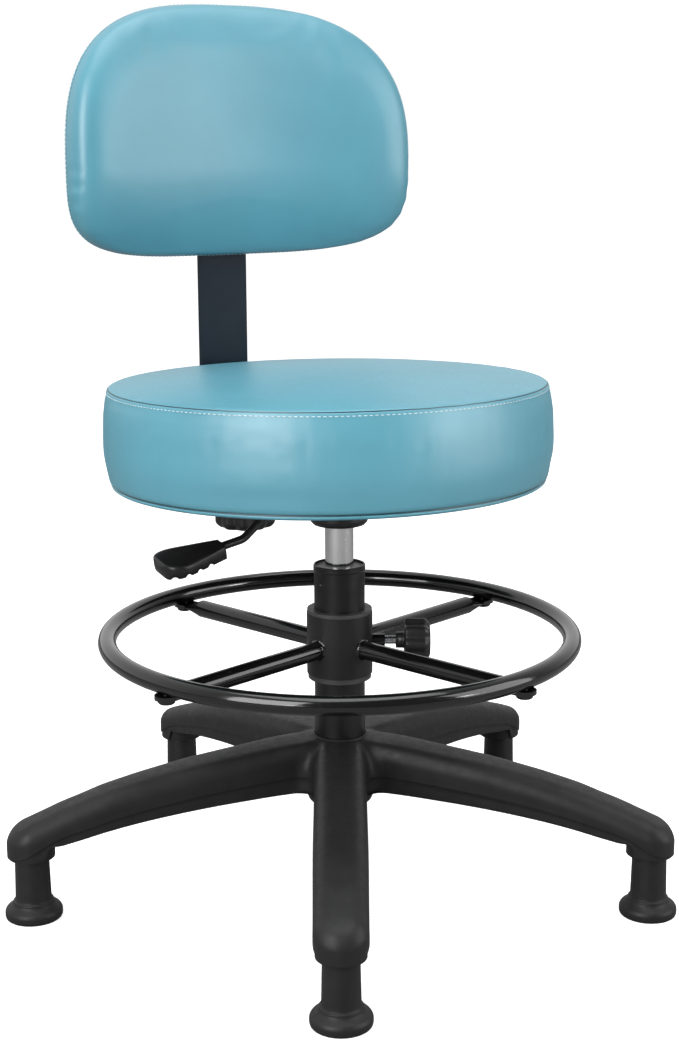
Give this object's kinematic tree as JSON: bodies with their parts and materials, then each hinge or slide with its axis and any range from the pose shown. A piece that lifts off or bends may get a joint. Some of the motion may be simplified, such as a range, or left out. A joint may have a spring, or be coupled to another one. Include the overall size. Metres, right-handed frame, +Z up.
{
  "type": "dental stool",
  "caption": "Height-adjustable round padded stool with a curved D-shaped backrest, gas lift, sliding footring and a star base on bell glides.",
  "frame": {"origin": "on the floor, on the axis of the column", "axes": "+Z up along the column; the sitter faces -Y, so the backrest is at +Y; +X is on the sitter's left"},
  "size_m": [0.6427, 0.6362, 0.868],
  "materials": {
    "nylon": "matte",
    "column_paint": "satin",
    "ring_paint": "gloss",
    "hub_paint": "satin",
    "mechanism_paint": "satin",
    "bar_paint": "satin",
    "chrome_rod": "polished",
    "steel": "satin",
    "zinc": "gloss",
    "bush_plastic": "satin",
    "guide_plastic": "satin",
    "knob_plastic": "satin",
    "paddle_plastic": "satin",
    "shell_plastic": "satin",
    "rubber": "matte",
    "brass": "satin",
    "plywood": "matte",
    "foam": "matte",
    "vinyl": "satin",
    "dust_cloth": "matte"
  },
  "bodies": {
    "base": {"star_base": "nylon", "column_tube": "column_paint", "guide_bush": "guide_plastic", "bell_glides": "nylon", "glide_stems": "steel", "stem_grip_rings": "steel", "lower_bearing_washer": "steel"},
    "lift_rod": {"piston_rod": "steel", "retaining_clip": "steel", "clip_washer": "steel", "upper_bearing_washer": "steel", "bearing_balls": "steel", "ball_cage": "bush_plastic", "bump_stop": "rubber", "lift_piston": "steel", "piston_seal": "rubber"},
    "seat": {"gas_cylinder": "chrome_rod", "cylinder_guide": "bush_plastic", "rod_seal": "rubber", "valve_body": "brass", "taper_hub": "mechanism_paint", "seat_plate": "mechanism_paint", "lever_frame": "mechanism_paint", "lever_pivot_pin": "zinc", "bar_channel": "mechanism_paint", "depth_clamp_nut": "zinc", "seat_bolts": "zinc", "seat_tee_nuts": "zinc", "seat_board": "plywood", "seat_foam": "foam", "seat_cover": "vinyl", "seat_dust_cover": "dust_cloth"},
    "release_lever": {"lever_rod": "mechanism_paint", "lever_paddle": "paddle_plastic"},
    "valve_pin": {"valve_pin": "brass"},
    "ring_bushes": {"ring_bushes": "bush_plastic"},
    "footring": {"foot_ring": "ring_paint", "ring_spokes": "ring_paint", "spoke_bolts": "ring_paint", "ring_hub": "hub_paint", "ring_clamp_nut": "ring_paint"},
    "ring_clamp": {"ring_clamp_pad": "brass"},
    "ring_knob": {"ring_knob_stud": "zinc", "ring_knob": "knob_plastic"},
    "back_bar": {"back_bar": "bar_paint", "bar_stop_screw": "zinc"},
    "depth_clamp": {"depth_clamp_pad": "brass"},
    "depth_knob": {"depth_knob_stud": "zinc", "depth_knob": "knob_plastic"},
    "backrest": {"back_shell": "shell_plastic", "back_board": "plywood", "back_foam": "foam", "back_cover": "vinyl", "back_tee_nuts": "zinc", "back_bracket": "mechanism_paint", "bracket_screws": "zinc", "height_clamp_nut": "zinc"},
    "height_clamp": {"height_clamp_pad": "brass"},
    "height_knob": {"height_knob_stud": "zinc", "height_knob": "knob_plastic"}
  },
  "joints": [
    {"name": "swivel", "type": "hinge", "parent": "base", "child": "lift_rod", "pos_m": [0, 0, 0.07], "axis": [0, 0, 1], "continuous": true},
    {"name": "seat_height", "type": "slide", "parent": "lift_rod", "child": "seat", "axis": [0, 0, 1], "range_m": [0, 0.19]},
    {"name": "release_lever", "type": "hinge", "parent": "seat", "child": "release_lever", "pos_m": [-0.028, 0, 0.3954], "axis": [0, 1, 0], "range_deg": [0, 6], "stiffness_Nm_per_rad": 1.5, "springref_deg": -5.73},
    {"name": "valve_press", "type": "slide", "parent": "seat", "child": "valve_pin", "axis": [0, 0, -1], "range_m": [0, 0.0031]},
    {"name": "footring_height", "type": "slide", "parent": "base", "child": "ring_bushes", "axis": [0, 0, 1], "range_m": [-0.05, 0.035]},
    {"name": "footring_turn", "type": "hinge", "parent": "ring_bushes", "child": "footring", "pos_m": [0, 0, 0.247], "axis": [0, 0, 1], "continuous": true},
    {"name": "ring_clamp", "type": "slide", "parent": "footring", "child": "ring_clamp", "axis": [0.8746, -0.4848, 0], "range_m": [0, 0.0026]},
    {"name": "ring_knob_turn", "type": "hinge", "parent": "ring_clamp", "child": "ring_knob", "pos_m": [0.05248, -0.02909, 0.247], "axis": [0.8746, -0.4848, 0], "range_deg": [-720, 0]},
    {"name": "back_depth", "type": "slide", "parent": "seat", "child": "back_bar", "axis": [0, 1, 0], "range_m": [-0.01, 0.045]},
    {"name": "depth_clamp", "type": "slide", "parent": "seat", "child": "depth_clamp", "axis": [0, 0, -1], "range_m": [0, 0.0026]},
    {"name": "depth_knob_turn", "type": "hinge", "parent": "depth_clamp", "child": "depth_knob", "pos_m": [0, 0.209, 0.34], "axis": [0, 0, -1], "range_deg": [-720, 0]},
    {"name": "back_height", "type": "slide", "parent": "back_bar", "child": "backrest", "axis": [0, 0, 1], "range_m": [-0.05, 0.05]},
    {"name": "height_clamp", "type": "slide", "parent": "backrest", "child": "height_clamp", "axis": [0, 1, 0], "range_m": [0, 0.0026]},
    {"name": "height_knob_turn", "type": "hinge", "parent": "height_clamp", "child": "height_knob", "pos_m": [0, 0.28, 0.72], "axis": [0, 1, 0], "range_deg": [-720, 0]}
  ],
  "couplings": [
    {"joint": "valve_press", "follows": "release_lever", "m_per_rad": 0.028},
    {"joint": "ring_clamp", "follows": "ring_knob_turn", "m_per_rad": -0.00019894},
    {"joint": "depth_clamp", "follows": "depth_knob_turn", "m_per_rad": -0.00019894},
    {"joint": "height_clamp", "follows": "height_knob_turn", "m_per_rad": -0.00019894}
  ]
}
